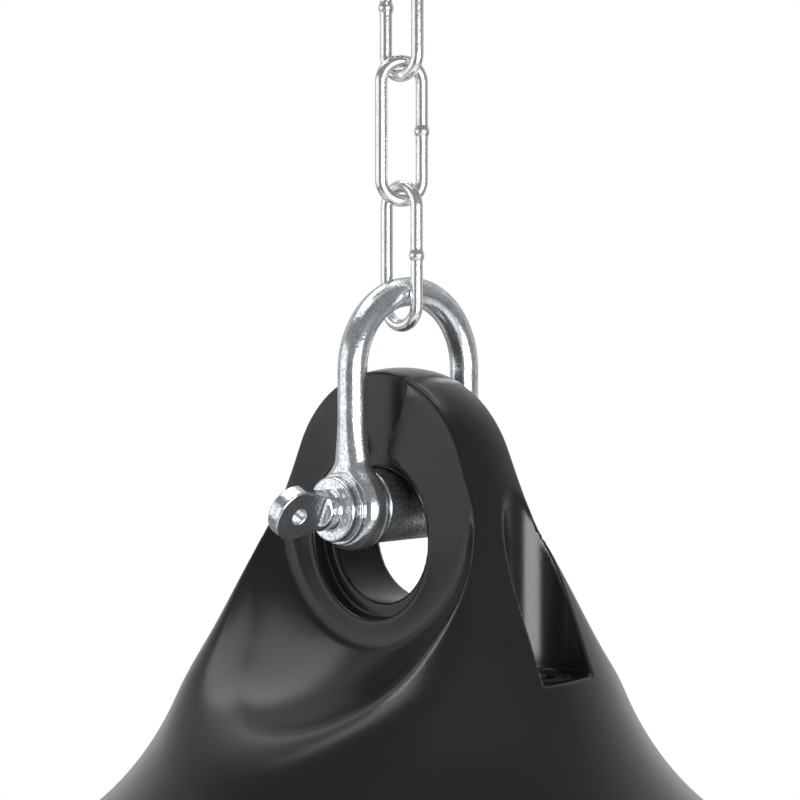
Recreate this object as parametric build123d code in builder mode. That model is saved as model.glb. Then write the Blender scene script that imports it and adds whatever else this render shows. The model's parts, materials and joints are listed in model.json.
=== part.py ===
from build123d import *
import os
from math import acos, asin, cos, degrees, radians, sin, sqrt

# Hanging water bag: a blow-moulded teardrop bag with a thick moulded eye, a shackle
# through a steel sleeve in that eye, a welded chain and a swivelling ceiling fitting.
# Millimetres, +Z up. The origin is on the ceiling, at the centre of the ceiling plate.
# The shackle pin lies along Y with its head towards -Y; the fill pocket faces +X.

os.makedirs("parts", exist_ok=True)

# ---------------------------------------------------------------- driving dimensions
# Ceiling fitting
PLATE_SIDE = 78.0
PLATE_THICKNESS = 5.0
PLATE_CORNER_RADIUS = 9.0
PLATE_EDGE_ROUND = 1.2
PLATE_HOLE_SPACING = 58.0
PLATE_HOLE_DIAMETER = 8.4
HOUSING_DIAMETER = 30.0
HOUSING_DEPTH = 15.0            # below the ceiling
HOUSING_ROUND = 2.5
NUT_POCKET_DIAMETER = 21.0
NUT_POCKET_DEPTH = 11.0
STEM_DIAMETER = 10.0
STEM_TOP = -1.5
STEM_SHOULDER = 3.0             # wider than the stem all round, and as thick
THRUST_WASHER_THICKNESS = 1.6
NUT_HEIGHT = 6.0
NUT_ACROSS_CORNERS = 18.4
RUNNING_CLEARANCE = 0.08        # radial, between a turning shaft and its hole
CLEVIS_PIN_DROP = 39.0          # from the ceiling to the clevis pin's axis
CLEVIS_PIN_DIAMETER = 8.0
CLEVIS_GAP = 8.0                # between the clevis ears
CLEVIS_EAR = 5.0                # thickness of one ear
CLEVIS_EAR_RADIUS = 9.0
CLEVIS_SKY = 11.5               # from the clevis pin's axis up to the bridge over the link
CLEVIS_PIN_HEAD = 2.5           # thickness, and how far it stands out past the pin
SPLIT_PIN_DIAMETER = 2.0
SPLIT_PIN_LENGTH = 12.0
SPLIT_PIN_TIP = 6.5             # below the clevis pin's axis
SPLIT_PIN_RING_RADIUS = 2.1
SPLIT_PIN_RING_WIRE = 1.6

# Chain
LINK_WIRE = 4.9
LINK_LENGTH = 59.6              # outside
LINK_WIDTH = 21.6               # outside
LINK_PLAY = 0.8                 # between two links that cross at less than a right angle
WELD_DIAMETER = 6.1
WELD_LENGTH = 2.6
TOP_LINK_TURN = 3.0             # degrees about Z, from the XZ plane
MIDDLE_LINK_TURN = 63.0
BOTTOM_LINK_TURN = 0.0

# Shackle
CROWN_RADIUS = 30.9             # of the wire's centre line, also the legs' distance from centre
CROWN_WIRE = 11.4
LEG_FOOT_WIDTH = 16.4           # along X, where the leg runs into its boss
LEG_HEIGHT = 52.1               # from the pin's axis to the start of the crown
CROWN_PLAY = 4.9                # free height under the crown inside the lowest link
BOSS_DIAMETER = 33.0
BOSS_THICKNESS = 12.0
BOSS_ROUND = 4.8
LEG_TAPER_HEIGHT = 34.0         # above the pin's axis, where the leg starts to widen
LEG_FOOT_HEIGHT = 10.0
SHACKLE_SHIFT = 4.5             # the shackle stands this far off centre along its pin
PIN_DIAMETER = 14.0
PIN_TIP_LENGTH = 1.0            # stands out past the far boss
COLLAR_DIAMETER = 25.0
COLLAR_THICKNESS = 3.6
COLLAR_ROUND = 1.1
WASHER_DIAMETER = 27.6
WASHER_THICKNESS = 2.0
NECK_DIAMETER = 12.5
TAB_RADIUS = 10.4
TAB_THICKNESS = 6.2
TAB_REACH = 17.8                # from the collar's face to the centre of the tab
TAB_ROOT_HALF = 6.2             # half the tab's height where it runs into the neck
TAB_LEAN = 25.0                 # degrees: the tab's top leans towards +X, as the pin stands screwed in
TAB_HOLE_DIAMETER = 6.2
SLEEVE_DIAMETER = 28.6
SLEEVE_LENGTH = 48.4

# Bag
BALL_RADIUS = 190.5
WALL = 6.0
EYE_RADIUS = 26.1
EYE_RECESS_RADIUS = 31.6
EYE_RECESS_FLOOR = 12.2         # half the thickness between the two recess floors
WEB_HALF = 18.3                 # half the thickness of the web around the eye
SCOOP_CENTRE_RISE = 10.0        # above the eye's centre
SCOOP_FLAT_RADIUS = 47.5
SCOOP_HEEL_RADIUS = 10.0
SCOOP_WALL_RADIUS = 76.0
GROOVE_HALF_WIDTH = 13.0
POCKET_X = 67.7                 # centre of the pocket's half-round back, and of the insert
POCKET_Y = 7.3
POCKET_RADIUS = 14.7
POCKET_FLOOR = -48.5            # below the eye's centre
INSERT_DIAMETER = 18.0
INSERT_FLANGE_DIAMETER = 21.0
INSERT_LENGTH = 20.0
PLUG_DIAMETER = 12.0
INSERT_FLANGE_THICKNESS = 2.0
FITTED_GAP = 0.03               # between parts that are bonded or screwed tight
PLUG_HEAD_DIAMETER = 16.0
PLUG_HEAD_THICKNESS = 4.0
PLUG_SHANK_LENGTH = 13.0
PLUG_SOCKET_DIAMETER = 9.0
PLUG_SOCKET_DEPTH = 3.0
SEAL_THICKNESS = 1.8

# ---------------------------------------------------------------- levels
LINK_REACH = LINK_LENGTH - LINK_WIRE
TOP_LINK_TOP = -CLEVIS_PIN_DROP + CLEVIS_PIN_DIAMETER / 2 + LINK_WIRE / 2 + 0.1
TOP_LINK_BOTTOM = TOP_LINK_TOP - LINK_REACH
MIDDLE_LINK_TOP = TOP_LINK_BOTTOM + LINK_WIRE + LINK_PLAY
MIDDLE_LINK_BOTTOM = MIDDLE_LINK_TOP - LINK_REACH
BOTTOM_LINK_TOP = MIDDLE_LINK_BOTTOM + LINK_WIRE + LINK_PLAY
BOTTOM_LINK_BOTTOM = BOTTOM_LINK_TOP - LINK_REACH
CROWN_AT_LINK = BOTTOM_LINK_BOTTOM + LINK_WIRE / 2 + CROWN_PLAY + CROWN_WIRE / 2
CROWN_START = CROWN_AT_LINK - sqrt(CROWN_RADIUS**2 - SHACKLE_SHIFT**2)
PIN_AXIS = CROWN_START - LEG_HEIGHT
EYE_CENTRE = PIN_AXIS - (EYE_RADIUS - SLEEVE_DIAMETER / 2) + 0.03

NEAR_LEG = SHACKLE_SHIFT - CROWN_RADIUS     # Y of the leg at the pin's head
FAR_LEG = SHACKLE_SHIFT + CROWN_RADIUS
NEAR_BOSS_FACE = NEAR_LEG - BOSS_THICKNESS / 2
FAR_BOSS_FACE = FAR_LEG + BOSS_THICKNESS / 2
COLLAR_BACK = NEAR_BOSS_FACE - WASHER_THICKNESS
COLLAR_FACE = COLLAR_BACK - COLLAR_THICKNESS
TAB_CENTRE = COLLAR_FACE - TAB_REACH

# The bag's outline meets smoothly all the way: a domed bullet around the eye, one straight
# side, a hollow flare and the ball.
DOME_RADIUS = 51.0
DOME_CENTRE_RISE = 14.0         # above the eye's centre
SIDE_LEAN = 23.0                # degrees from the vertical
SIDE_LENGTH = 104.2
FLARE_RADIUS = 124.0
FLARE_START_X = DOME_RADIUS * cos(radians(SIDE_LEAN)) + SIDE_LENGTH * sin(radians(SIDE_LEAN))
FLARE_START_RISE = (
    DOME_CENTRE_RISE + DOME_RADIUS * sin(radians(SIDE_LEAN)) - SIDE_LENGTH * cos(radians(SIDE_LEAN))
)
FLARE_CENTRE_X = FLARE_START_X + FLARE_RADIUS * cos(radians(SIDE_LEAN))
FLARE_CENTRE_RISE = FLARE_START_RISE + FLARE_RADIUS * sin(radians(SIDE_LEAN))
BALL_LEAN = degrees(acos(FLARE_CENTRE_X / (FLARE_RADIUS + BALL_RADIUS)))
BALL_RISE = FLARE_CENTRE_RISE - (FLARE_RADIUS + BALL_RADIUS) * sin(radians(BALL_LEAN))
CAVITY_TOP_RISE = -74.0         # the water's upper level, below the solid neck
WATER_GAP = 0.3
FILL_PLANE = Plane((POCKET_X, POCKET_Y, EYE_CENTRE + POCKET_FLOOR))


def pin_plane(y):
    """A plane across the pin at y, its normal along -Y, towards the pin's head."""
    return Plane(origin=(0, y, PIN_AXIS), x_dir=(1, 0, 0), z_dir=(0, -1, 0))


def rims(part, diameter):
    """The circular edges of a part that have this diameter."""
    circles = part.edges().filter_by(GeomType.CIRCLE)
    return circles.filter_by(lambda edge: abs(edge.radius - diameter / 2) < 0.01)


def finish(part, name):
    """Name one piece and write its STEP file."""
    part.label = name
    export_step(part, f"parts/{name}.step")
    print(name, round(part.volume), "mm3")


# ---------------------------------------------------------------- ceiling fitting
with BuildPart() as ceiling_plate:
    with BuildSketch():
        RectangleRounded(PLATE_SIDE, PLATE_SIDE, PLATE_CORNER_RADIUS)
    extrude(amount=-PLATE_THICKNESS)
    with BuildSketch(Plane.XY.offset(-PLATE_THICKNESS)):
        Circle(HOUSING_DIAMETER / 2)
    extrude(amount=PLATE_THICKNESS - HOUSING_DEPTH)
    fillet(ceiling_plate.faces().sort_by(Axis.Z)[0].edges(), HOUSING_ROUND)
    with BuildSketch():
        Circle(NUT_POCKET_DIAMETER / 2)
    extrude(amount=-NUT_POCKET_DEPTH, mode=Mode.SUBTRACT)
    with BuildSketch():
        Circle(STEM_DIAMETER / 2 + RUNNING_CLEARANCE)
        with GridLocations(PLATE_HOLE_SPACING, PLATE_HOLE_SPACING, 2, 2):
            Circle(PLATE_HOLE_DIAMETER / 2)
    extrude(amount=-HOUSING_DEPTH, mode=Mode.SUBTRACT)
    underside = ceiling_plate.faces().filter_by(Plane.XY).group_by(Axis.Z)[-2]
    fillet(underside.edges().filter_by(GeomType.LINE), PLATE_EDGE_ROUND)
finish(ceiling_plate.part, "ceiling_plate")

# Everything below the ceiling plate's housing hangs from the stem of a forged clevis.
CLEVIS_FRAME = Plane.XY.rotated((0, 0, TOP_LINK_TURN))      # its pin lies along this plane's Y
CLEVIS_SIDE = Plane(
    origin=(0, 0, -CLEVIS_PIN_DROP), x_dir=CLEVIS_FRAME.x_dir, z_dir=CLEVIS_FRAME.y_dir
)
YOKE_TOP = -HOUSING_DEPTH - 0.6
YOKE_BODY_TOP = YOKE_TOP - 2.0
with BuildPart() as swivel_clevis:
    with BuildSketch(Plane.XY.offset(STEM_TOP)):
        Circle(STEM_DIAMETER / 2)
    extrude(amount=YOKE_TOP - STEM_TOP)
    with BuildSketch(Plane.XY.offset(YOKE_TOP)):
        Circle(STEM_DIAMETER / 2 + STEM_SHOULDER)
    extrude(amount=-STEM_SHOULDER)
    with BuildSketch(CLEVIS_SIDE):
        Circle(CLEVIS_EAR_RADIUS)
        with Locations((0, -(YOKE_BODY_TOP + CLEVIS_PIN_DROP) / 2)):
            Rectangle(2 * CLEVIS_EAR_RADIUS, YOKE_BODY_TOP + CLEVIS_PIN_DROP)
    extrude(amount=CLEVIS_GAP / 2 + CLEVIS_EAR, both=True)
    with BuildSketch(CLEVIS_SIDE):
        with Locations((0, CLEVIS_EAR_RADIUS)):
            Rectangle(
                4 * CLEVIS_EAR_RADIUS, CLEVIS_SKY + CLEVIS_EAR_RADIUS, align=(Align.CENTER, Align.MAX)
            )
    extrude(amount=CLEVIS_GAP / 2, both=True, mode=Mode.SUBTRACT)
    with BuildSketch(CLEVIS_SIDE):
        Circle(CLEVIS_PIN_DIAMETER / 2 + RUNNING_CLEARANCE)
    extrude(amount=CLEVIS_GAP + CLEVIS_EAR, both=True, mode=Mode.SUBTRACT)
finish(swivel_clevis.part, "swivel_clevis")

with BuildPart() as thrust_washer:
    with BuildSketch(Plane.XY.offset(-NUT_POCKET_DEPTH)):
        Circle(NUT_POCKET_DIAMETER / 2 - 1)
        Circle(STEM_DIAMETER / 2 + 0.1, mode=Mode.SUBTRACT)
    extrude(amount=THRUST_WASHER_THICKNESS)
finish(thrust_washer.part, "thrust_washer")

with BuildPart() as swivel_nut:
    with BuildSketch(Plane.XY.offset(-NUT_POCKET_DEPTH + THRUST_WASHER_THICKNESS)):
        RegularPolygon(NUT_ACROSS_CORNERS / 2, 6)
        Circle(STEM_DIAMETER / 2 + 0.02, mode=Mode.SUBTRACT)
    extrude(amount=NUT_HEIGHT)
    chamfer(swivel_nut.edges().filter_by(GeomType.LINE, reverse=True).group_by(Axis.Z)[-1], 0.4)
finish(swivel_nut.part, "swivel_nut")

CLEVIS_HALF = CLEVIS_GAP / 2 + CLEVIS_EAR
CLEVIS_PIN_END = CLEVIS_HALF + 5.0
SPLIT_PIN_PLACE = CLEVIS_HALF + 2.0
with BuildPart() as clevis_pin:
    with BuildSketch(CLEVIS_SIDE.offset(-CLEVIS_HALF - CLEVIS_PIN_HEAD)):
        Circle(CLEVIS_PIN_DIAMETER / 2 + CLEVIS_PIN_HEAD)
    extrude(amount=CLEVIS_PIN_HEAD)
    with BuildSketch(CLEVIS_SIDE.offset(-CLEVIS_HALF - 1)):
        Circle(CLEVIS_PIN_DIAMETER / 2)
    extrude(amount=CLEVIS_PIN_END + CLEVIS_HALF + 1)
    chamfer(clevis_pin.faces().sort_by(Axis.Y)[-1].edges(), 0.8)
    with BuildSketch(Plane.XY.offset(-CLEVIS_PIN_DROP)):
        with Locations(CLEVIS_FRAME.y_dir * SPLIT_PIN_PLACE):
            Circle(SPLIT_PIN_DIAMETER / 2 + 0.06)
    extrude(amount=CLEVIS_PIN_DIAMETER, both=True, mode=Mode.SUBTRACT)
finish(clevis_pin.part, "clevis_pin")

SPLIT_PIN_AXIS = Plane(
    origin=CLEVIS_FRAME.y_dir * SPLIT_PIN_PLACE + Vector(0, 0, -CLEVIS_PIN_DROP),
    x_dir=CLEVIS_FRAME.x_dir, z_dir=(0, 0, 1)
)
with BuildPart() as split_pin:
    with BuildSketch(SPLIT_PIN_AXIS.offset(-SPLIT_PIN_TIP)):
        Circle(SPLIT_PIN_DIAMETER / 2)
    extrude(amount=SPLIT_PIN_LENGTH)
    with Locations(SPLIT_PIN_AXIS.offset(SPLIT_PIN_LENGTH - SPLIT_PIN_TIP + 1.5)):
        Torus(SPLIT_PIN_RING_RADIUS, SPLIT_PIN_RING_WIRE / 2, rotation=(90, 0, 0))
    with Locations(SPLIT_PIN_AXIS.offset(-SPLIT_PIN_TIP)):
        Sphere(SPLIT_PIN_DIAMETER / 2)
finish(split_pin.part, "split_pin")

# ---------------------------------------------------------------- chain
LINK_CENTRE_WIDTH = LINK_WIDTH - LINK_WIRE
LINK_STRAIGHT = LINK_REACH - LINK_CENTRE_WIDTH


def chain_link(name, top, turn, weld_side):
    """One welded link: a round wire bent to a long ring, with a weld bead on one leg."""
    flat = Plane.XZ.rotated((0, 0, turn))
    middle = Vector(0, 0, top - LINK_REACH / 2)
    face = Plane(origin=middle, x_dir=flat.x_dir, z_dir=flat.z_dir)
    leg = Plane(
        origin=middle + flat.x_dir * (LINK_CENTRE_WIDTH / 2), x_dir=flat.x_dir, z_dir=(0, 0, 1)
    )
    bead = Plane(
        origin=middle + flat.x_dir * (weld_side * LINK_CENTRE_WIDTH / 2),
        x_dir=flat.x_dir, z_dir=(0, 0, 1)
    )
    with BuildPart() as link:
        with BuildLine(face) as ring:
            right = Line(
                (LINK_CENTRE_WIDTH / 2, 0), (LINK_CENTRE_WIDTH / 2, LINK_STRAIGHT / 2)
            )
            over = JernArc(right @ 1, right % 1, LINK_CENTRE_WIDTH / 2, 180)
            left = Line(over @ 1, (-LINK_CENTRE_WIDTH / 2, -LINK_STRAIGHT / 2))
            under = JernArc(left @ 1, left % 1, LINK_CENTRE_WIDTH / 2, 180)
            Line(under @ 1, right @ 0)
        with BuildSketch(leg):
            Circle(LINK_WIRE / 2)
        sweep(path=ring.wires()[0])
        with BuildSketch(bead.offset(-WELD_LENGTH / 2)):
            Circle(WELD_DIAMETER / 2)
        extrude(amount=WELD_LENGTH)
    finish(link.part, name)


chain_link("chain_link_top", TOP_LINK_TOP, TOP_LINK_TURN, -1)
chain_link("chain_link_middle", MIDDLE_LINK_TOP, MIDDLE_LINK_TURN, 1)
chain_link("chain_link_bottom", BOTTOM_LINK_TOP, BOTTOM_LINK_TURN, 1)

# ---------------------------------------------------------------- shackle
with BuildPart() as shackle_bow:
    with BuildLine(Plane.YZ) as crown:
        rise = Line(
            (NEAR_LEG, PIN_AXIS + LEG_TAPER_HEIGHT), (NEAR_LEG, CROWN_START)
        )
        arch = JernArc(rise @ 1, rise % 1, CROWN_RADIUS, -180)
        Line(arch @ 1, (FAR_LEG, PIN_AXIS + LEG_TAPER_HEIGHT))
    with BuildSketch(Plane(origin=(0, NEAR_LEG, PIN_AXIS + LEG_TAPER_HEIGHT))):
        Circle(CROWN_WIRE / 2)
    sweep(path=crown.wires()[0])
    for leg_y in (NEAR_LEG, FAR_LEG):
        with BuildSketch(Plane(origin=(0, leg_y, PIN_AXIS + LEG_TAPER_HEIGHT))):
            Circle(CROWN_WIRE / 2)
        with BuildSketch(Plane(origin=(0, leg_y, PIN_AXIS + LEG_FOOT_HEIGHT))):
            Ellipse(LEG_FOOT_WIDTH / 2, BOSS_THICKNESS / 2 - 0.05)
        loft()
        with BuildSketch(Plane.YZ) as boss_section:
            with Locations((leg_y, PIN_AXIS)):
                Rectangle(BOSS_THICKNESS, BOSS_DIAMETER / 2, align=(Align.CENTER, Align.MIN))
            fillet(boss_section.vertices().group_by(Axis.Z)[-1], BOSS_ROUND)
        revolve(axis=Axis((0, 0, PIN_AXIS), (0, 1, 0)))
    with BuildSketch(pin_plane(NEAR_BOSS_FACE)):
        Circle(PIN_DIAMETER / 2 + RUNNING_CLEARANCE)
    extrude(amount=-(FAR_BOSS_FACE - NEAR_BOSS_FACE), mode=Mode.SUBTRACT)
finish(shackle_bow.part, "shackle_bow")

with BuildPart() as shackle_washer:
    with BuildSketch(pin_plane(COLLAR_BACK)):
        Circle(WASHER_DIAMETER / 2)
        Circle(PIN_DIAMETER / 2 + RUNNING_CLEARANCE, mode=Mode.SUBTRACT)
    extrude(amount=-WASHER_THICKNESS)
    fillet(rims(shackle_washer, WASHER_DIAMETER), 0.5)
finish(shackle_washer.part, "shackle_washer")

TAB_PLANE = Plane(
    origin=(0, 0, PIN_AXIS), x_dir=(0, 1, 0),
    z_dir=(cos(radians(TAB_LEAN)), 0, -sin(radians(TAB_LEAN))),
)

with BuildPart() as shackle_pin:
    with BuildSketch(pin_plane(COLLAR_BACK)):
        Circle(PIN_DIAMETER / 2)
    extrude(amount=-(FAR_BOSS_FACE + PIN_TIP_LENGTH - COLLAR_BACK))
    chamfer(shackle_pin.faces().sort_by(Axis.Y)[-1].edges(), 1.2)
    with BuildSketch(pin_plane(COLLAR_BACK)):
        Circle(COLLAR_DIAMETER / 2)
    extrude(amount=COLLAR_THICKNESS)
    fillet(rims(shackle_pin, COLLAR_DIAMETER), COLLAR_ROUND)
    with BuildSketch(pin_plane(COLLAR_FACE + 0.5)):
        Circle(NECK_DIAMETER / 2)
    extrude(amount=6.0)
    with BuildSketch(TAB_PLANE.offset(-TAB_THICKNESS / 2)):
        with Locations((TAB_CENTRE, 0)):
            Circle(TAB_RADIUS)
        Polygon(
            (TAB_CENTRE, TAB_RADIUS), (COLLAR_FACE - 3, TAB_ROOT_HALF),
            (COLLAR_FACE - 3, -TAB_ROOT_HALF), (TAB_CENTRE, -TAB_RADIUS),
            align=None,
        )
    extrude(amount=TAB_THICKNESS)
    with BuildSketch(TAB_PLANE.offset(-TAB_THICKNESS)):
        with Locations((TAB_CENTRE, 0)):
            Circle(TAB_HOLE_DIAMETER / 2)
    extrude(amount=2 * TAB_THICKNESS, mode=Mode.SUBTRACT)
finish(shackle_pin.part, "shackle_pin")

with BuildPart() as eye_sleeve:
    with BuildSketch(pin_plane(SHACKLE_SHIFT - SLEEVE_LENGTH / 2)):
        Circle(SLEEVE_DIAMETER / 2)
        Circle(PIN_DIAMETER / 2 + RUNNING_CLEARANCE, mode=Mode.SUBTRACT)
    extrude(amount=-SLEEVE_LENGTH)
    chamfer(rims(eye_sleeve, SLEEVE_DIAMETER), 0.8)
finish(eye_sleeve.part, "eye_sleeve")

# ---------------------------------------------------------------- bag
BAG_OUTLINE_PLANE = Plane(origin=(0, 0, EYE_CENTRE), x_dir=(1, 0, 0), z_dir=(0, -1, 0))
SCOOP_AXIS = Axis((0, 0, EYE_CENTRE + SCOOP_CENTRE_RISE), (0, 1, 0))
SCOOP_PLANE = Plane(
    origin=(0, 0, EYE_CENTRE + SCOOP_CENTRE_RISE), x_dir=(0, 1, 0), z_dir=(1, 0, 0)
)
SCOOP_WALL_ARC = (
    SCOOP_WALL_RADIUS - SCOOP_FLAT_RADIUS - SCOOP_HEEL_RADIUS * sin(radians(45))
) / (1 - cos(radians(45)))


def draw_hollow(inset, top_rise):
    """Draw the half outline of the space inside the ball, inset from it, up to a level."""
    top_lean = degrees(asin((FLARE_CENTRE_RISE - top_rise) / (FLARE_RADIUS + inset)))
    top_x = FLARE_CENTRE_X - (FLARE_RADIUS + inset) * cos(radians(top_lean))
    flare = JernArc(
        (top_x, top_rise), (sin(radians(top_lean)), -cos(radians(top_lean))),
        FLARE_RADIUS + inset, BALL_LEAN - top_lean
    )
    ball = ThreePointArc(
        flare @ 1, (BALL_RADIUS - inset, BALL_RISE), (0, BALL_RISE - BALL_RADIUS + inset)
    )
    Polyline(ball @ 1, (0, top_rise), flare @ 0)


with BuildPart() as bag_body:
    with BuildSketch(BAG_OUTLINE_PLANE):
        with BuildLine():
            dome = JernArc(
                (0, DOME_CENTRE_RISE + DOME_RADIUS), (1, 0), DOME_RADIUS, SIDE_LEAN - 90
            )
            side = Line(dome @ 1, dome @ 1 + (dome % 1) * SIDE_LENGTH)
            flare = JernArc(side @ 1, side % 1, FLARE_RADIUS, BALL_LEAN - SIDE_LEAN)
            ball = ThreePointArc(
                flare @ 1, (BALL_RADIUS, BALL_RISE), (0, BALL_RISE - BALL_RADIUS)
            )
            Line(ball @ 1, dome @ 0)
        make_face()
    revolve(axis=Axis.Z)
    with BuildSketch(SCOOP_PLANE):
        with BuildLine():
            flat = Line((WEB_HALF, 0), (WEB_HALF, SCOOP_FLAT_RADIUS))
            heel = JernArc(flat @ 1, flat % 1, SCOOP_HEEL_RADIUS, -45)
            wall = JernArc(heel @ 1, heel % 1, SCOOP_WALL_ARC, -45)
            Polyline(wall @ 1, (BALL_RADIUS, SCOOP_WALL_RADIUS), (BALL_RADIUS, 0), flat @ 0)
        make_face()
        mirror(about=Plane.YZ)
    revolve(axis=SCOOP_AXIS, mode=Mode.SUBTRACT)
    # The eye, its recess on both faces, and the open groove from each recess to the top.
    with BuildSketch(Plane.XZ):
        with Locations((0, EYE_CENTRE)):
            Circle(EYE_RADIUS)
    extrude(amount=2 * WEB_HALF, both=True, mode=Mode.SUBTRACT)
    for side_sign in (1, -1):
        with BuildSketch(Plane.XZ.offset(side_sign * EYE_RECESS_FLOOR)):
            with Locations((0, EYE_CENTRE)):
                Circle(EYE_RECESS_RADIUS)
            with Locations((0, EYE_CENTRE + DOME_RADIUS)):
                Rectangle(2 * GROOVE_HALF_WIDTH, 2 * DOME_RADIUS)
        extrude(amount=side_sign * WEB_HALF, mode=Mode.SUBTRACT)
    # The filling pocket: an upright slot with a half-round back, cut into the sloping shoulder
    # down to a level ledge.
    with BuildSketch(FILL_PLANE):
        Circle(POCKET_RADIUS)
        Rectangle(BALL_RADIUS, 2 * POCKET_RADIUS, align=(Align.MIN, Align.CENTER))
    extrude(amount=DOME_RADIUS - POCKET_FLOOR, mode=Mode.SUBTRACT)
    # The hollow that holds the water, a wall's thickness inside the outline.
    with BuildSketch(BAG_OUTLINE_PLANE):
        with BuildLine():
            draw_hollow(WALL, CAVITY_TOP_RISE)
        make_face()
    revolve(axis=Axis.Z, mode=Mode.SUBTRACT)
    # The filling hole, from the ledge down into the hollow, with a seat for the insert.
    with BuildSketch(FILL_PLANE):
        Circle(INSERT_FLANGE_DIAMETER / 2 + FITTED_GAP)
    extrude(amount=-INSERT_FLANGE_THICKNESS - FITTED_GAP, mode=Mode.SUBTRACT)
    with BuildSketch(FILL_PLANE):
        Circle(INSERT_DIAMETER / 2 + FITTED_GAP)
    extrude(amount=CAVITY_TOP_RISE - POCKET_FLOOR - 1, mode=Mode.SUBTRACT)
finish(bag_body.part, "bag_body")

with BuildPart() as water_fill:
    with BuildSketch(BAG_OUTLINE_PLANE):
        with BuildLine():
            draw_hollow(WALL + WATER_GAP, CAVITY_TOP_RISE - WATER_GAP)
        make_face()
    revolve(axis=Axis.Z)
finish(water_fill.part, "water_fill")

# ---------------------------------------------------------------- filling closure
with BuildPart() as fill_insert:
    with BuildSketch(FILL_PLANE):
        Circle(INSERT_FLANGE_DIAMETER / 2)
    extrude(amount=-INSERT_FLANGE_THICKNESS)
    with BuildSketch(FILL_PLANE):
        Circle(INSERT_DIAMETER / 2)
    extrude(amount=-INSERT_LENGTH)
    with BuildSketch(FILL_PLANE):
        Circle(PLUG_HEAD_DIAMETER / 2 + 0.3)
    extrude(amount=-PLUG_HEAD_THICKNESS - SEAL_THICKNESS, mode=Mode.SUBTRACT)
    with BuildSketch(FILL_PLANE):
        Circle(PLUG_DIAMETER / 2 + RUNNING_CLEARANCE)
    extrude(amount=-INSERT_LENGTH, mode=Mode.SUBTRACT)
finish(fill_insert.part, "fill_insert")

with BuildPart() as plug_seal:
    with BuildSketch(FILL_PLANE.offset(-PLUG_HEAD_THICKNESS)):
        Circle(PLUG_HEAD_DIAMETER / 2 - 0.1)
        Circle(PLUG_DIAMETER / 2 + RUNNING_CLEARANCE, mode=Mode.SUBTRACT)
    extrude(amount=-SEAL_THICKNESS)
    fillet(rims(plug_seal, PLUG_HEAD_DIAMETER - 0.2), 0.6)
finish(plug_seal.part, "plug_seal")

with BuildPart() as fill_plug:
    with BuildSketch(FILL_PLANE):
        Circle(PLUG_HEAD_DIAMETER / 2)
    extrude(amount=-PLUG_HEAD_THICKNESS)
    chamfer(rims(fill_plug, PLUG_HEAD_DIAMETER).sort_by(Axis.Z)[-1:], 0.6)
    with BuildSketch(FILL_PLANE.offset(-PLUG_HEAD_THICKNESS)):
        Circle(PLUG_DIAMETER / 2)
    extrude(amount=-PLUG_SHANK_LENGTH)
    with BuildSketch(FILL_PLANE):
        RegularPolygon(PLUG_SOCKET_DIAMETER / 2, 6)
    extrude(amount=-PLUG_SOCKET_DEPTH, mode=Mode.SUBTRACT)
finish(fill_plug.part, "fill_plug")
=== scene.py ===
"""Looks of a hanging water bag: a glossy black teardrop body with a thick moulded eye, a zinc
screw-pin shackle through a steel sleeve, a welded chain and a swivelling ceiling fitting.

Every rounded piece is a field: a function that is negative inside the piece, in millimetres,
in the frame's axes. grow() turns a field into a closed mesh whose points lie on it."""

import json
from math import acos, cos, radians, sin, tau

import bmesh
import bpy
import numpy as np
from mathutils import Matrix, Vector


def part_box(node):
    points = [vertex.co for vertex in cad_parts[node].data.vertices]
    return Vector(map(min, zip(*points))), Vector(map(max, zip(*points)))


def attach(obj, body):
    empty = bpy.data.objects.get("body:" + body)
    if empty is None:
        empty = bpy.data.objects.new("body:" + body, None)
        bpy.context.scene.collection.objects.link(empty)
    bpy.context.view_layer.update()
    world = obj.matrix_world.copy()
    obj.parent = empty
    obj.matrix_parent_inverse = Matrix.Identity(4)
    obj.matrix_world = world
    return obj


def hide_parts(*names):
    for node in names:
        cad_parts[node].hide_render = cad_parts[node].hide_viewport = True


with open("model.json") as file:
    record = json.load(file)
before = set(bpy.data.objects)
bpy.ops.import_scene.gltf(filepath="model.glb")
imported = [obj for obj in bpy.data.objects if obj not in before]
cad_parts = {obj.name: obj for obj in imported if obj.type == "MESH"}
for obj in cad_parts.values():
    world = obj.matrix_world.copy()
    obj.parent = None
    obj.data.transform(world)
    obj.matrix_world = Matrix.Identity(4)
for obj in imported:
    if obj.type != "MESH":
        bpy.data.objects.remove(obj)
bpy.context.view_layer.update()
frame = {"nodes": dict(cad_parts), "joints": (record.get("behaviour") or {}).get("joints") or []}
MM = 0.001
joint_place = {j["name"]: j.get("pos_m") for j in frame["joints"]}

# ---------------------------------------------------------------- sizes, in millimetres
# The pin lies along Y. The sleeve turns on it and bears on the top of the bag's eye.
PIN_HEIGHT = joint_place["pin_turn"][2] / MM
SLEEVE_RADIUS = 14.3
PIN_RADIUS = 7.0
PIN_CLEARANCE = 0.08
PIN_HOLE_RADIUS = PIN_RADIUS + PIN_CLEARANCE
EYE_RADIUS = 26.1
SLEEVE_GAP = 0.03
EYE_HEIGHT = PIN_HEIGHT - (EYE_RADIUS - SLEEVE_RADIUS) + SLEEVE_GAP

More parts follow.
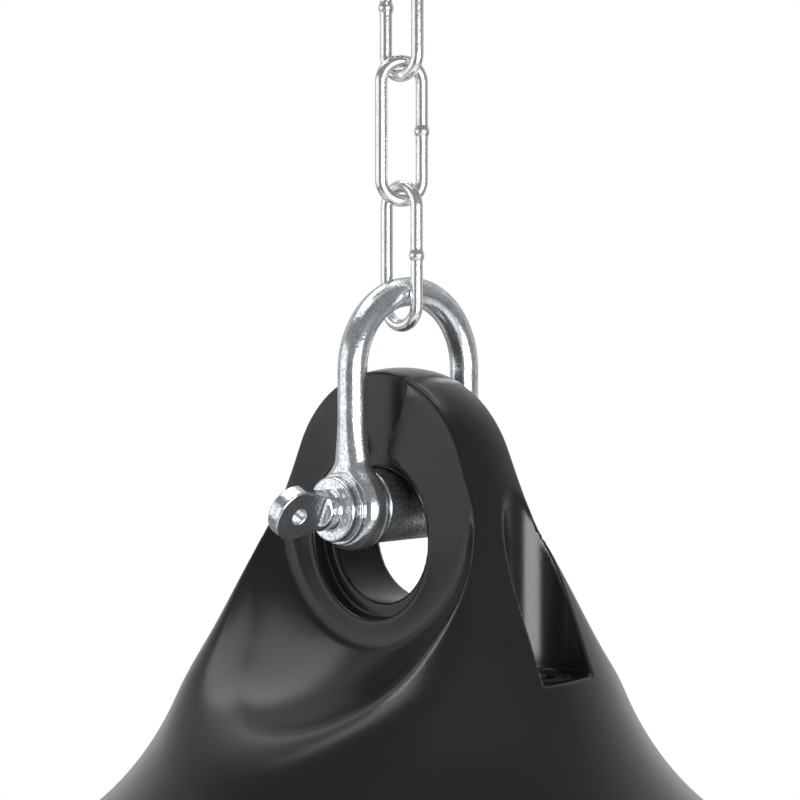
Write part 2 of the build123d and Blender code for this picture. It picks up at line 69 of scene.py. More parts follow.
# The bow: heights are from the pin's axis. It stands a little to +Y of the bag's middle plane.
SHACKLE_SHIFT = 4.5
CROWN_RADIUS = 30.9
CROWN_WIRE_RADIUS = 5.7
LEG_HEIGHT = 52.1
LEG_FLARE_TOP = 36.0
LEG_FLARE_FOOT = 8.0
LEG_FLARE_WIDTH = 2.6
LEG_FLARE_DEPTH = 0.2
BOSS_RADIUS = 16.5
BOSS_HALF = 6.0
BOSS_ROUND = 4.8
NEAR_BOSS_FACE = SHACKLE_SHIFT - CROWN_RADIUS - BOSS_HALF
FAR_BOSS_FACE = SHACKLE_SHIFT + CROWN_RADIUS + BOSS_HALF

# In front of the near boss: the washer, then the pin's collar, neck and drilled tab.
WASHER_RADIUS = 13.8
WASHER_THICKNESS = 2.0
COLLAR_BACK = NEAR_BOSS_FACE - WASHER_THICKNESS
FACE_GAP = 0.05
COLLAR_RADIUS = 12.5
COLLAR_THICKNESS = 3.6
COLLAR_FACE = COLLAR_BACK - COLLAR_THICKNESS
PIN_SET_IN = 1.0
PIN_STANDS_OUT = 1.0
PIN_NECK_LENGTH = 6.0
PIN_NECK_ROOT = 2.0
TAB_REACH = 17.8
TAB_CENTRE = COLLAR_FACE - TAB_REACH
TAB_RADIUS = 10.4
TAB_TAPER = 0.28
TAB_ROOT = 15.0
TAB_HALF_THICKNESS = 3.1
TAB_HOLE_RADIUS = 3.1
TAB_LEAN = radians(25.0)
SLEEVE_HALF = 24.2

# The links, and the weld bead on one leg of each.
LINK_WIRE_RADIUS = 2.45
LINK_ARC_RADIUS = 8.35
LINK_HALF_STRAIGHT = 19.0
BEAD_REACH = 2.2
BEAD_ROUND = 0.85
BEAD_SQUEEZE = 0.62

# The bag's outline, from the eye's centre: a dome, a straight side, a hollow flare, a ball.
WEB_HALF = 18.3
RECESS_FLOOR = 12.2
RECESS_RADIUS = 31.6
DOME_RADIUS = 51.0
DOME_RISE = 14.0
LEAN = radians(23.0)
SIDE_LENGTH = 104.2
FLARE_RADIUS = 124.0
BALL_RADIUS = 190.5
WALL = 6.0
CAVITY_TOP = -74.0
SIDE_TOP = (DOME_RADIUS * cos(LEAN), DOME_RISE + DOME_RADIUS * sin(LEAN))
SIDE_FOOT = (SIDE_TOP[0] + SIDE_LENGTH * sin(LEAN), SIDE_TOP[1] - SIDE_LENGTH * cos(LEAN))
FLARE_CENTRE = (SIDE_FOOT[0] + FLARE_RADIUS * cos(LEAN), SIDE_FOOT[1] + FLARE_RADIUS * sin(LEAN))
BALL_LEAN = acos(FLARE_CENTRE[0] / (FLARE_RADIUS + BALL_RADIUS))
BALL_RISE = FLARE_CENTRE[1] - (FLARE_RADIUS + BALL_RADIUS) * sin(BALL_LEAN)


# ---------------------------------------------------------------- fields
def smooth_max(a, b, blend):
    """The larger of two fields, rounded over where they are nearly equal."""
    overlap = np.maximum(blend - np.abs(a - b), 0.0) / blend
    return np.maximum(a, b) + overlap * overlap * blend / 4


def smooth_min(a, b, blend):
    """The smaller of two fields, with a fillet where they meet."""
    return -smooth_max(-a, -b, blend)


def ease(value, start, end):
    """0 before start, 1 after end, smooth between."""
    t = np.clip((value - start) / (end - start), 0.0, 1.0)
    return t * t * (3 - 2 * t)


def turned(radius, along, outer, low, high, rounding):
    """A round bar about an axis: its radius, its two ends and its rounded edges."""
    across = radius - (outer - rounding)
    end = np.maximum(low + rounding - along, along - (high - rounding))
    outside = np.hypot(np.maximum(across, 0), np.maximum(end, 0))
    return outside + np.minimum(np.maximum(across, end), 0) - rounding


def outline(radius, rise):
    """The bag's turned outline, before anything is cut from it."""
    along = (radius - SIDE_TOP[0]) * sin(LEAN) - (rise - SIDE_TOP[1]) * cos(LEAN)
    dome = np.hypot(radius, rise - DOME_RISE) - DOME_RADIUS
    side = (radius - SIDE_TOP[0]) * cos(LEAN) + (rise - SIDE_TOP[1]) * sin(LEAN)
    across = radius - FLARE_CENTRE[0]
    down = rise - FLARE_CENTRE[1]
    flare = FLARE_RADIUS - np.hypot(across, down)
    ball = np.hypot(radius, rise - BALL_RISE) - BALL_RADIUS
    past_flare = across * sin(BALL_LEAN) - down * cos(BALL_LEAN) > 0
    lower = np.where(past_flare, ball, flare)
    return np.where(along < 0, dome, np.where(along < SIDE_LENGTH, side, lower))


# The scoops, as turned about an axis across the web: a flat face, a round heel, a hollow wall.
SCOOP_RISE = 10.0
SCOOP_FLAT = 47.5
SCOOP_REACH = 76.0
HEEL_RADIUS = 10.0
HEEL_TURN = radians(45.0)
HEEL_CENTRE = (WEB_HALF + HEEL_RADIUS, SCOOP_FLAT)
WALL_RADIUS = (SCOOP_REACH - SCOOP_FLAT - HEEL_RADIUS * sin(HEEL_TURN)) / (1 - cos(HEEL_TURN))
WALL_CENTRE = (
    HEEL_CENTRE[0] + (WALL_RADIUS - HEEL_RADIUS) * cos(HEEL_TURN),
    HEEL_CENTRE[1] - (WALL_RADIUS - HEEL_RADIUS) * sin(HEEL_TURN),
)
WEB_TAPER = 0.21
TAPER_START = 34.0
TAPER_WIDTH = 28.0


def scoop(x, away, rise):
    """What is cut away beside the web: a face that thins the web towards its edge, then a wall."""
    radius = np.hypot(x, rise - SCOOP_RISE)
    past_recess = np.clip(np.hypot(x, rise) - TAPER_START, 0.0, TAPER_WIDTH)
    away = away + WEB_TAPER * past_recess * ease(rise, start=-40.0, end=-5.0)
    flat = WEB_HALF - away
    heel = np.hypot(away - HEEL_CENTRE[0], radius - HEEL_CENTRE[1]) - HEEL_RADIUS
    wall = np.hypot(away - WALL_CENTRE[0], radius - WALL_CENTRE[1]) - WALL_RADIUS
    rim = radius - SCOOP_REACH
    past_heel = (away - HEEL_CENTRE[0]) + (radius - HEEL_CENTRE[1]) > 0
    curved = np.where(past_heel, np.where(away > WALL_CENTRE[0], rim, wall), heel)
    return np.where(radius < SCOOP_FLAT, flat, curved)


# The pocket, with room for the insert's flange on its ledge and for the insert's shank below.
INSERT_LOW, INSERT_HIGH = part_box("fill_insert")
POCKET_X = (INSERT_LOW.x + INSERT_HIGH.x) / 2 / MM
POCKET_Y = (INSERT_LOW.y + INSERT_HIGH.y) / 2 / MM
POCKET_RADIUS = 14.7
POCKET_LEDGE = -48.5
FLANGE_RADIUS = 10.55
FLANGE_HALF = 2.05
SHANK_RADIUS = 9.05
SHANK_DEPTH = 10.0
SHANK_HALF = 11.0

# The edge between a scoop and the outline: sharp beside the eye, soft low on the neck.
SHARP_EDGE = 2.4
SOFT_EDGE = 20.0

# The groove from the recess over the dome's top, and how much wider it gets on the way.
GROOVE_HALF = 9.0
GROOVE_WIDENING = 5.0


def pocket(x, y, rise):
    """The filling pocket: an upright slot with a half-round back, down to a level ledge."""
    behind = np.minimum(x - POCKET_X, 0.0)
    slot = np.hypot(behind, y - POCKET_Y) - POCKET_RADIUS
    return smooth_max(slot, POCKET_LEDGE - rise, blend=1.6)


def bag(x, y, z):
    """The moulded bag with its eye, recesses, grooves, scoops and filling pocket."""
    rise = z - EYE_HEIGHT
    away = np.abs(y)
    solid = outline(np.hypot(x, y), rise)
    softness = SHARP_EDGE + (SOFT_EDGE - SHARP_EDGE) * ease(-rise, start=4.0, end=48.0)
    solid = smooth_max(solid, -scoop(x, away, rise), blend=softness)
    eye = np.hypot(x, rise)
    groove_half = GROOVE_HALF + GROOVE_WIDENING * ease(rise, start=30.0, end=52.0)
    groove = np.maximum(np.abs(x) - groove_half, -rise)
    sunk = smooth_min(eye - RECESS_RADIUS, groove, blend=5.0)
    sunk = smooth_max(sunk, RECESS_FLOOR - away, blend=0.8)
    solid = smooth_max(solid, -sunk, blend=2.0)
    solid = smooth_max(solid, EYE_RADIUS - eye, blend=1.2)
    solid = smooth_max(solid, -pocket(x, y, rise), blend=1.4)
    insert = np.hypot(x - POCKET_X, y - POCKET_Y)
    flange = np.maximum(insert - FLANGE_RADIUS, np.abs(rise - POCKET_LEDGE) - FLANGE_HALF)
    shank = np.maximum(insert - SHANK_RADIUS, np.abs(rise - POCKET_LEDGE + SHANK_DEPTH) - SHANK_HALF)
    return np.maximum(np.maximum(solid, -flange), -shank)


def shackle(x, y, z):
    """The forged bow: a round crown and legs that widen into two drilled bosses."""
    across = np.abs(y - SHACKLE_SHIFT)
    rise = z - PIN_HEIGHT
    above = np.maximum(rise - LEG_HEIGHT, 0.0)
    wire = np.hypot(np.hypot(across, above) - CROWN_RADIUS, x) - CROWN_WIRE_RADIUS
    widening = ease(-rise, -LEG_FLARE_TOP, -LEG_FLARE_FOOT)
    width = CROWN_WIRE_RADIUS + LEG_FLARE_WIDTH * widening
    depth = CROWN_WIRE_RADIUS + LEG_FLARE_DEPTH * widening
    leg = (np.hypot(x / width, (across - CROWN_RADIUS) / depth) - 1.0) * CROWN_WIRE_RADIUS
    leg = np.maximum(np.maximum(leg, -rise), rise - LEG_HEIGHT)
    bow = np.where(rise > LEG_HEIGHT, wire, leg)
    about_pin = np.hypot(x, rise)
    boss = turned(about_pin, across - CROWN_RADIUS, BOSS_RADIUS, -BOSS_HALF, BOSS_HALF, BOSS_ROUND)
    bow = smooth_min(bow, boss, blend=3.5)
    faces = np.where(rise < BOSS_RADIUS, np.abs(across - CROWN_RADIUS) - BOSS_HALF, -BOSS_HALF)
    bow = np.maximum(bow, faces)
    return smooth_max(bow, PIN_HOLE_RADIUS - about_pin, blend=0.8)


def washer(x, y, z):
    """The flat washer under the pin's collar."""
    radius = np.hypot(x, z - PIN_HEIGHT)
    ends = COLLAR_BACK + FACE_GAP, NEAR_BOSS_FACE - FACE_GAP
    disc = turned(radius, y, WASHER_RADIUS, *ends, rounding=0.7)
    return np.maximum(disc, PIN_HOLE_RADIUS - radius)


def screw_pin(x, y, z):
    """The shackle's pin: a shank, a collar, a neck and a drilled tab that leans towards +X."""
    rise = z - PIN_HEIGHT
    radius = np.hypot(x, rise)
    shank_ends = COLLAR_BACK + PIN_SET_IN, FAR_BOSS_FACE + PIN_STANDS_OUT
    shank = turned(radius, y, PIN_RADIUS, *shank_ends, rounding=1.0)
    collar = turned(radius, y, COLLAR_RADIUS, COLLAR_FACE, COLLAR_BACK, rounding=1.1)
    neck_ends = COLLAR_FACE - PIN_NECK_LENGTH, COLLAR_FACE + PIN_NECK_ROOT
    neck = turned(radius, y, PIN_RADIUS, *neck_ends, rounding=1.5)
    reach = y - TAB_CENTRE
    through = x * cos(TAB_LEAN) - rise * sin(TAB_LEAN)
    up = np.abs(x * sin(TAB_LEAN) + rise * cos(TAB_LEAN))
    flats = up - TAB_RADIUS + TAB_TAPER * np.maximum(reach, 0)
    end = np.hypot(np.minimum(reach, 0), up) - TAB_RADIUS
    tab = smooth_max(flats, end, blend=1.0)
    tab = smooth_max(tab, reach - TAB_ROOT, blend=1.0)
    tab = smooth_max(tab, np.abs(through) - TAB_HALF_THICKNESS, blend=0.9)
    head = smooth_min(neck, tab, blend=2.6)
    head = smooth_min(head, collar, blend=1.6)
    head = smooth_max(head, TAB_HOLE_RADIUS - np.hypot(reach, up), blend=0.7)
    return np.minimum(np.maximum(head, y - COLLAR_BACK), shank)


def sleeve(x, y, z):
    """The steel sleeve that lines the bag's eye."""
    radius = np.hypot(x, z - PIN_HEIGHT)
    ends = SHACKLE_SHIFT - SLEEVE_HALF, SHACKLE_SHIFT + SLEEVE_HALF
    bar = turned(radius, y, SLEEVE_RADIUS, *ends, rounding=1.0)
    return smooth_max(bar, PIN_HOLE_RADIUS - radius, blend=0.8)


def chain_link(turn, middle, weld_side):
    """The field of one welded link, turned about Z, with its weld on one leg."""
    angle = radians(turn)

    def field(x, y, z):
        across = x * cos(angle) + y * sin(angle)
        through = y * cos(angle) - x * sin(angle)
        rise = z - middle
        beyond = rise - np.clip(rise, -LINK_HALF_STRAIGHT, LINK_HALF_STRAIGHT)
        ring = np.hypot(np.hypot(across, beyond) - LINK_ARC_RADIUS, through) - LINK_WIRE_RADIUS
        leg = np.hypot(across - weld_side * LINK_ARC_RADIUS, through)
        bead = np.hypot(np.maximum(leg - BEAD_REACH, 0), rise * BEAD_SQUEEZE) - BEAD_ROUND
        return smooth_min(ring, bead, blend=0.9)

    return field


# ---------------------------------------------------------------- meshes from fields
CUBE_EDGES = [(a, b) for a in range(8) for b in range(8) if a < b and bin(a ^ b).count("1") == 1]
STEP = 0.03
SETTLE_PASSES = 4
FLATTEST = 0.05


def slope(field, places):
    """The field's gradient at some places, by small steps each way."""
    parts = []
    for axis in range(3):
        shift = np.zeros(3)
        shift[axis] = STEP
        ahead = field(*(places + shift).T)
        behind = field(*(places - shift).T)
        parts.append((ahead - behind) / (2 * STEP))
    return np.stack(parts, axis=1)


def settle(field, places, cell):
    """Move each place onto the field's surface, by no more than a cell in all."""
    start = places.copy()
    for _ in range(SETTLE_PASSES):
        gradient = slope(field, places)
        size = np.maximum((gradient**2).sum(1), FLATTEST)
        places = places - gradient * (field(*places.T) / size)[:, None]
        places = start + np.clip(places - start, -cell, cell)
    return places


def net(field, low, high, cell):
    """The points and quads of a surface net over a box. Left open where the box cuts the piece."""
    counts = [int(np.ceil((h - l) / cell)) + 1 for l, h in zip(low, high)]
    axes = [l + cell * np.arange(n) for l, n in zip(low, counts)]
    values = field(*np.meshgrid(*axes, indexing="ij"))
    inside = values < 0
    corners = [
        (slice(bit & 1, counts[0] - 1 + (bit & 1)),
         slice(bit >> 1 & 1, counts[1] - 1 + (bit >> 1 & 1)),
         slice(bit >> 2 & 1, counts[2] - 1 + (bit >> 2 & 1)))
        for bit in range(8)
    ]
    filled = sum(inside[c].astype(np.int8) for c in corners)
    active = (filled > 0) & (filled < 8)
    where = np.argwhere(active)
    held = [values[c][active] for c in corners]
    total = np.zeros((len(where), 3))
    crossings = np.zeros(len(where))
    for a, b in CUBE_EDGES:
        crossed = (held[a] < 0) != (held[b] < 0)
        gap = np.where(crossed, held[a] - held[b], 1.0)
        share = np.clip(held[a] / gap, 0, 1)
        for axis in range(3):
            first = a >> axis & 1
            last = b >> axis & 1
            total[:, axis] += np.where(crossed, first + (last - first) * share, 0)
        crossings += crossed
    points = np.array(low) + cell * (where + total / crossings[:, None])
    number = np.full(active.shape, -1)
    number[active] = np.arange(len(where))
    quads = []
    for axis in range(3):
        one, two = (axis + 1) % 3, (axis + 2) % 3
        ahead = np.roll(inside, -1, axis=axis)
        flips = np.argwhere(inside != ahead)
        keep = flips[:, axis] < counts[axis] - 1
        for side in (one, two):
            keep &= (flips[:, side] > 0) & (flips[:, side] < counts[side] - 1)
        flips = flips[keep]
        ring = []
        for back_one, back_two in ((1, 1), (0, 1), (0, 0), (1, 0)):
            cells = flips.copy()
            cells[:, one] -= back_one
            cells[:, two] -= back_two
            ring.append(number[tuple(cells.T)])
        ring = np.stack(ring, axis=1)
        outwards = inside[tuple(flips.T)]
        ring[~outwards] = ring[~outwards][:, ::-1]
        quads.append(ring)
    return settle(field, points, cell), np.concatenate(quads)


def build(name, points, faces, normals, body, node, material):
    """Make one piece from points in millimetres, and let it stand for its CAD node."""
    mesh = bpy.data.meshes.new(name)
    mesh.from_pydata((points * MM).tolist(), [], [list(map(int, f)) for f in faces])
    mesh.validate()
    mesh.shade_smooth()
    mesh.normals_split_custom_set_from_vertices(normals.tolist())
    mesh.materials.append(material)
    piece = bpy.data.objects.new(name, mesh)
    bpy.context.scene.collection.objects.link(piece)
    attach(piece, body)
    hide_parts(node)


def unit(vectors):
    """Rows of the same direction and of length 1."""
    return vectors / np.maximum(np.linalg.norm(vectors, axis=1), 1e-9)[:, None]


def grow(name, field, cell, body, node, material):
    """A closed piece from its field, over its CAD node's box."""
    low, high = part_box(node)
    margin = 3 * cell
    points, quads = net(field, [v / MM - margin for v in low], [v / MM + margin for v in high], cell)
    build(name, points, quads, unit(slope(field, points)), body, node, material)


# ---------------------------------------------------------------- materials
def new_material(name):
    """A material with its node tree and its shader."""
    material = bpy.data.materials.new(name)
    material.use_nodes = True
    tree = material.node_tree
    return material, tree, tree.nodes["Principled BSDF"]


def noise(tree, scale, detail):
    """Noise over the object's own coordinates, in metres."""
    coordinates = tree.nodes.new("ShaderNodeTexCoord")
    texture = tree.nodes.new("ShaderNodeTexNoise")
    texture.inputs["Scale"].default_value = scale
    texture.inputs["Detail"].default_value = detail
    tree.links.new(coordinates.outputs["Object"], texture.inputs["Vector"])
    return texture.outputs["Fac"]


def ramp(tree, value, low, high, start, end):
    """Map a value from start..end to the numbers low..high."""
    node = tree.nodes.new("ShaderNodeMapRange")
    node.inputs["From Min"].default_value = start
    node.inputs["From Max"].default_value = end
    node.inputs["To Min"].default_value = low
    node.inputs["To Max"].default_value = high
    tree.links.new(value, node.inputs["Value"])
    return node.outputs["Result"]


def tint(tree, value, low, high, start, end):
    """Map a value from start..end to the colours low..high."""
    node = tree.nodes.new("ShaderNodeValToRGB")
    node.color_ramp.elements[0].position = start
    node.color_ramp.elements[1].position = end
    node.color_ramp.elements[0].color = (*low, 1)
    node.color_ramp.elements[1].color = (*high, 1)
    tree.links.new(value, node.inputs["Fac"])
    return node.outputs["Color"]


def bump(tree, shader, height, distance, strength=1.0):
    """Raise the shader's skin by a height of 0..1 times a distance in metres."""
    node = tree.nodes.new("ShaderNodeBump")
    node.inputs["Distance"].default_value = distance
    node.inputs["Strength"].default_value = strength
    tree.links.new(height, node.inputs["Height"])
    tree.links.new(node.outputs["Normal"], shader.inputs["Normal"])


def zinc(name, dark, light, edge, roughness, pits):
    """Bright zinc plating: bluish white with fine dark mottling, a pitted skin and dull edges."""
    material, tree, shader = new_material(name)
    shader.inputs["Metallic"].default_value = 0.95
    shader.inputs["Specular Tint"].default_value = (edge, edge, edge, 1)
    mottle = noise(tree, scale=900.0, detail=6.0)
    cloud = noise(tree, scale=160.0, detail=3.0)
    specks = ramp(tree, mottle, low=0.0, high=0.55, start=0.2, end=0.8)
    both = tree.nodes.new("ShaderNodeMath")
    both.operation = "MULTIPLY_ADD"
    both.inputs[1].default_value = 0.45
    tree.links.new(cloud, both.inputs[0])
    tree.links.new(specks, both.inputs[2])
    colour = tint(tree, both.outputs[0], dark, light, start=0.34, end=0.56)
    dullness = ramp(tree, mottle, roughness + 0.14, roughness - 0.05, start=0.3, end=0.7)
    tree.links.new(colour, shader.inputs["Base Color"])
    tree.links.new(dullness, shader.inputs["Roughness"])
    bump(tree, shader, mottle, pits)
    return material


def vinyl():
    """Near-black moulded vinyl: glossy, with a very fine grain and slow changes of tone."""
    material, tree, shader = new_material("black_vinyl")
    cloud = noise(tree, scale=22.0, detail=4.0)
    grain = noise(tree, scale=1700.0, detail=3.0)
    colour = tint(tree, cloud, VINYL_DARK, VINYL_LIGHT, start=0.35, end=0.65)
    dullness = ramp(tree, grain, low=0.27, high=0.20, start=0.3, end=0.7)
    tree.links.new(colour, shader.inputs["Base Color"])
    tree.links.new(dullness, shader.inputs["Roughness"])
    shader.inputs["IOR"].default_value = 1.5
    bump(tree, shader, grain, distance=0.00007, strength=0.6)
    return material


def plain(name, low, high, scale, roughness, depth):
    """A simple cast or moulded finish with a mottled colour and a grained skin."""
    material, tree, shader = new_material(name)
    spots = noise(tree, scale, detail=4.0)
    colour = tint(tree, spots, low, high, start=0.35, end=0.65)
    dullness = ramp(tree, spots, roughness + 0.08, roughness - 0.08, start=0.3, end=0.7)
    tree.links.new(colour, shader.inputs["Base Color"])
    tree.links.new(dullness, shader.inputs["Roughness"])
    bump(tree, shader, spots, depth)
    return material


VINYL_DARK, VINYL_LIGHT = (0.0095, 0.0085, 0.0108), (0.0125, 0.0112, 0.0140)
VINYL = vinyl()
SHACKLE_DARK, SHACKLE_LIGHT = (0.56, 0.60, 0.63), (0.93, 0.97, 1.0)
SHACKLE_ZINC = zinc("shackle_zinc", SHACKLE_DARK, SHACKLE_LIGHT, edge=0.45, roughness=0.15, pits=0.00010)
CHAIN_DARK, CHAIN_LIGHT = (0.82, 0.83, 0.84), (0.97, 0.98, 0.99)
CHAIN_ZINC = zinc("chain_zinc", CHAIN_DARK, CHAIN_LIGHT, edge=0.65, roughness=0.18, pits=0.00004)
SLEEVE_DARK, SLEEVE_LIGHT = (0.24, 0.25, 0.26), (0.72, 0.75, 0.78)
SLEEVE_STEEL = zinc("sleeve_steel", SLEEVE_DARK, SLEEVE_LIGHT, edge=0.5, roughness=0.26, pits=0.00008)
COAT_DARK, COAT_LIGHT = (0.012, 0.012, 0.013), (0.022, 0.022, 0.024)
POWDER_COAT = plain("black_powder_coat", COAT_DARK, COAT_LIGHT, scale=1400.0, roughness=0.42, depth=0.00006)
NYLON_DARK, NYLON_LIGHT = (0.012, 0.012, 0.012), (0.026, 0.026, 0.026)
NYLON = plain("black_nylon", NYLON_DARK, NYLON_LIGHT, scale=900.0, roughness=0.45, depth=0.00003)
RUBBER_DARK, RUBBER_LIGHT = (0.010, 0.010, 0.010), (0.020, 0.020, 0.020)
RUBBER = plain("seal_rubber", RUBBER_DARK, RUBBER_LIGHT, scale=1600.0, roughness=0.65, depth=0.00003)
WATER_DARK, WATER_LIGHT = (0.30, 0.48, 0.52), (0.36, 0.55, 0.60)
WATER = plain("water", WATER_DARK, WATER_LIGHT, scale=30.0, roughness=0.12, depth=0.00001)

# ---------------------------------------------------------------- hardware
# The cells of the surface nets, in millimetres: fine where a piece has fine edges.
LINK_CELL = 0.42
BOW_CELL = 0.85
WASHER_CELL = 0.42
PIN_CELL = 0.5
SLEEVE_CELL = 0.6

# Each link's name, its turn about Z in degrees, and the side of its weld.
LINKS = (("top", 3.0, -1), ("middle", 63.0, 1), ("bottom", 0.0, 1))
for place, turn, weld_side in LINKS:
    node = f"chain_link_{place}"
    low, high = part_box(node)
    field = chain_link(turn, (low.z + high.z) / 2 / MM, weld_side)
    grow(f"welded_link_{place}", field, LINK_CELL, f"link_{place}", node, CHAIN_ZINC)

grow("forged_bow", shackle, BOW_CELL, "shackle", "shackle_bow", SHACKLE_ZINC)
grow("pin_washer_plate", washer, WASHER_CELL, "pin_washer", "shackle_washer", SHACKLE_ZINC)
grow("screw_pin", screw_pin, PIN_CELL, "pin", "shackle_pin", SHACKLE_ZINC)
grow("steel_sleeve", sleeve, SLEEVE_CELL, "sleeve", "eye_sleeve", SLEEVE_STEEL)

# ---------------------------------------------------------------- bag
# The neck is a net down to NECK_FOOT, from the eye's centre. Below that the bag is turned rings,
# and a band of quads bridges the gap between the two.
NECK_FOOT = -100.0
NECK_CELL = 1.25
NECK_HALF = 120.0
NECK_GAP = 2.0
SEGMENTS = 256
FLARE_RINGS = 12
BALL_RINGS = 90
HOLLOW_RINGS = 60


def turned_rings(profile):
    """The points of rings about Z, from a list of (radius, rise) pairs."""
    angles = np.arange(SEGMENTS) * tau / SEGMENTS
    rings = [
        np.stack([r * np.cos(angles), r * np.sin(angles), np.full(SEGMENTS, EYE_HEIGHT + h)], axis=1)
        for r, h in profile
    ]
    return np.concatenate(rings)


def ring_quads(first, count, flip=False):
    """Quads between rings that follow each other, numbered from first."""
    quads = []
    for ring in range(count - 1):
        for i in range(SEGMENTS):
            j = (i + 1) % SEGMENTS
            a = first + ring * SEGMENTS
            quad = [a + i, a + i + SEGMENTS, a + j + SEGMENTS, a + j]
            quads.append(quad[::-1] if flip else quad)
    return quads


def lower_profile(inset, start_rise, steps):
    """(radius, rise) down the flare and the ball to near the lowest point, inset from the outline."""
    across, up = FLARE_CENTRE
    reach = FLARE_RADIUS + inset
    start = np.arcsin((up - start_rise) / reach)
    angles = np.linspace(start, BALL_LEAN, FLARE_RINGS)
    flare = [(across - reach * cos(a), up - reach * sin(a)) for a in angles]
    reach = BALL_RADIUS - inset
    angles = np.linspace(BALL_LEAN, -np.pi / 2, steps)[1:-1]
    ball = [(reach * cos(a), BALL_RISE + reach * sin(a)) for a in angles]
    return flare + ball


def make_bag():
    """The bag: a net over the shaped neck, joined to the turned ball, and the hollow inside."""
    low = [-NECK_HALF, -NECK_HALF, EYE_HEIGHT + NECK_FOOT]
    high = [NECK_HALF, NECK_HALF, EYE_HEIGHT + DOME_RISE + DOME_RADIUS + 3 * NECK_CELL]
    points, quads = net(bag, low, high, NECK_CELL)
    profile = lower_profile(0.0, NECK_FOOT - NECK_GAP, BALL_RINGS)
    bottom = EYE_HEIGHT + BALL_RISE - BALL_RADIUS
    rings = turned_rings(profile)
    first = len(points)
    faces = quads.tolist() + ring_quads(first, len(profile))
    pole = first + len(rings)
    last = pole - SEGMENTS
    faces += [[last + i, pole, last + (i + 1) % SEGMENTS] for i in range(SEGMENTS)]
    points = np.concatenate([points, rings, [[0, 0, bottom]]])

    mesh = bmesh.new()
    verts = [mesh.verts.new(p * MM) for p in points]
    for face in faces:
        mesh.faces.new([verts[i] for i in face])
    rim_level = (EYE_HEIGHT + NECK_FOOT + 3 * NECK_CELL) * MM
    rim = [e for e in mesh.edges if e.is_boundary and max(v.co.z for v in e.verts) < rim_level]
    bmesh.ops.bridge_loops(mesh, edges=rim)
    bmesh.ops.recalc_face_normals(mesh, faces=mesh.faces)
    mesh.verts.index_update()
    points = np.array([v.co for v in mesh.verts]) / MM
    faces = [[v.index for v in f.verts] for f in mesh.faces]
    mesh.free()
    normals = unit(slope(bag, points))

    inner = lower_profile(WALL, CAVITY_TOP, HOLLOW_RINGS)
    hollow = turned_rings(inner)
    first = len(points)
    faces += ring_quads(first, len(inner), flip=True)
    top, pole = first + len(hollow), first + len(hollow) + 1
    last = first + (len(inner) - 1) * SEGMENTS
    for i in range(SEGMENTS):
        j = (i + 1) % SEGMENTS
        faces.append([first + j, top, first + i])
        faces.append([last + j, pole, last + i])
    hollow_ends = [[0, 0, EYE_HEIGHT + CAVITY_TOP], [0, 0, bottom + WALL]]
    inner_points = np.concatenate([hollow, hollow_ends])
    points = np.concatenate([points, inner_points])
    middle = np.array([0, 0, EYE_HEIGHT + BALL_RISE])
    normals = np.concatenate([normals, unit(middle - inner_points)])
    build("water_bag", points, faces, normals, "bag", "bag_body", VINYL)


make_bag()

# ---------------------------------------------------------------- finishes on the CAD's own pieces
FINISHES = {
    "ceiling_plate": POWDER_COAT,
    "swivel_clevis": SHACKLE_ZINC,
    "thrust_washer": CHAIN_ZINC,
    "swivel_nut": CHAIN_ZINC,
    "clevis_pin": CHAIN_ZINC,
    "split_pin": CHAIN_ZINC,
    "water_fill": WATER,
    "fill_insert": NYLON,
    "plug_seal": RUBBER,
    "fill_plug": NYLON,
}
for node, finish in FINISHES.items():
    cad = frame["nodes"][node]
    cad.data.materials.clear()
    cad.data.materials.append(finish)

# ---------------------------------------------------------------- camera
AZIMUTH = radians(45.5)
DISTANCE = 0.784
CAMERA_RISE = 84.1 * MM
camera_data = bpy.data.cameras.new("camera")
camera_data.sensor_width = 36.0
camera_data.lens = 90.0
camera_data.shift_x = -0.002
camera_data.shift_y = -0.1016
camera = bpy.data.objects.new("camera", camera_data)
bpy.context.scene.collection.objects.link(camera)
camera.location = (DISTANCE * sin(AZIMUTH), -DISTANCE * cos(AZIMUTH), EYE_HEIGHT * MM + CAMERA_RISE)
camera.rotation_euler = (radians(90), 0, AZIMUTH)
bpy.context.scene.camera = camera

# ---------------------------------------------------------------- studio
FLOOR_LEVEL = -1.25
FLOOR_RADIUS = 2.4
FLOOR_SIDES = 96
floor_mesh = bpy.data.meshes.new("studio_floor")
rim_angles = np.arange(FLOOR_SIDES) * tau / FLOOR_SIDES
floor_rim = [(FLOOR_RADIUS * cos(a), FLOOR_RADIUS * sin(a), FLOOR_LEVEL) for a in rim_angles]
floor_mesh.from_pydata(floor_rim, [], [range(FLOOR_SIDES)])
floor = bpy.data.objects.new("studio_floor", floor_mesh)
floor_material, floor_tree, floor_shader = new_material("pale_floor")
floor_shader.inputs["Base Color"].default_value = (0.86, 0.86, 0.86, 1)
floor_shader.inputs["Roughness"].default_value = 0.9
floor_mesh.materials.append(floor_material)
bpy.context.scene.collection.objects.link(floor)


def direction(azimuth, elevation):
    """A unit vector from its azimuth, counted from +X towards +Y, and its elevation, in degrees."""
    turn, rise = radians(azimuth), radians(elevation)
    return Vector((cos(turn) * cos(rise), sin(turn) * cos(rise), sin(rise)))


LIGHT_DISTANCE = 1.5


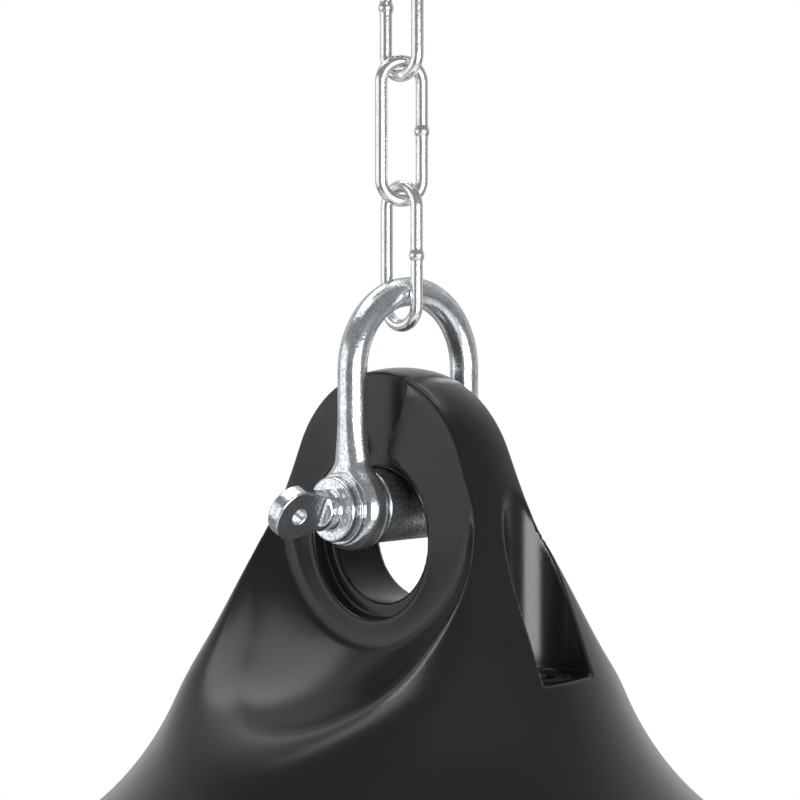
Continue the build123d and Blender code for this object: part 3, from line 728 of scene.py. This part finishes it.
def softbox(name, azimuth, elevation, width, height, brightness):
    """A soft light that looks at the bag's eye, as bright over its whole face as it says."""
    way = direction(azimuth, elevation)
    light = bpy.data.lights.new(name, "AREA")
    light.shape = "RECTANGLE"
    light.size = width
    light.size_y = height
    light.energy = brightness * np.pi * width * height
    lamp = bpy.data.objects.new(name, light)
    bpy.context.scene.collection.objects.link(lamp)
    lamp.location = Vector((0, 0, EYE_HEIGHT * MM)) + way * LIGHT_DISTANCE
    lamp.rotation_euler = way.to_track_quat("Z", "Y").to_euler()


softbox("front_right_box", azimuth=-12, elevation=-4, width=1.25, height=0.8, brightness=7.5)
softbox("left_box", azimuth=-122, elevation=6, width=1.7, height=1.1, brightness=0.9)
softbox("top_box", azimuth=180, elevation=78, width=1.5, height=1.4, brightness=1.9)

# The studio's walls: brighter behind the bag, darker below it, and plain white to the camera.
BRIGHT_SIDE = 135
world = bpy.data.worlds.new("studio")
bpy.context.scene.world = world
world.use_nodes = True
tree = world.node_tree
coordinates = tree.nodes.new("ShaderNodeTexCoord")
facing = tree.nodes.new("ShaderNodeVectorMath")
facing.operation = "DOT_PRODUCT"
facing.inputs[1].default_value = direction(BRIGHT_SIDE, 0)
tree.links.new(coordinates.outputs["Generated"], facing.inputs[0])
behind = ramp(tree, facing.outputs["Value"], low=0.20, high=0.80, start=0.1, end=0.9)
split = tree.nodes.new("ShaderNodeSeparateXYZ")
tree.links.new(coordinates.outputs["Generated"], split.inputs[0])
below = ramp(tree, split.outputs["Z"], low=0.25, high=1.0, start=-0.45, end=-0.05)
walls = tree.nodes.new("ShaderNodeMath")
walls.operation = "MULTIPLY"
tree.links.new(behind, walls.inputs[0])
tree.links.new(below, walls.inputs[1])
path = tree.nodes.new("ShaderNodeLightPath")
mix = tree.nodes.new("ShaderNodeMix")
mix.data_type = "FLOAT"
mix.inputs[3].default_value = 1.0
tree.links.new(path.outputs["Is Camera Ray"], mix.inputs[0])
tree.links.new(walls.outputs[0], mix.inputs[2])
background = tree.nodes["Background"]
background.inputs["Color"].default_value = (1, 1, 1, 1)
tree.links.new(mix.outputs[0], background.inputs["Strength"])
bpy.context.scene.view_settings.view_transform = "Standard"
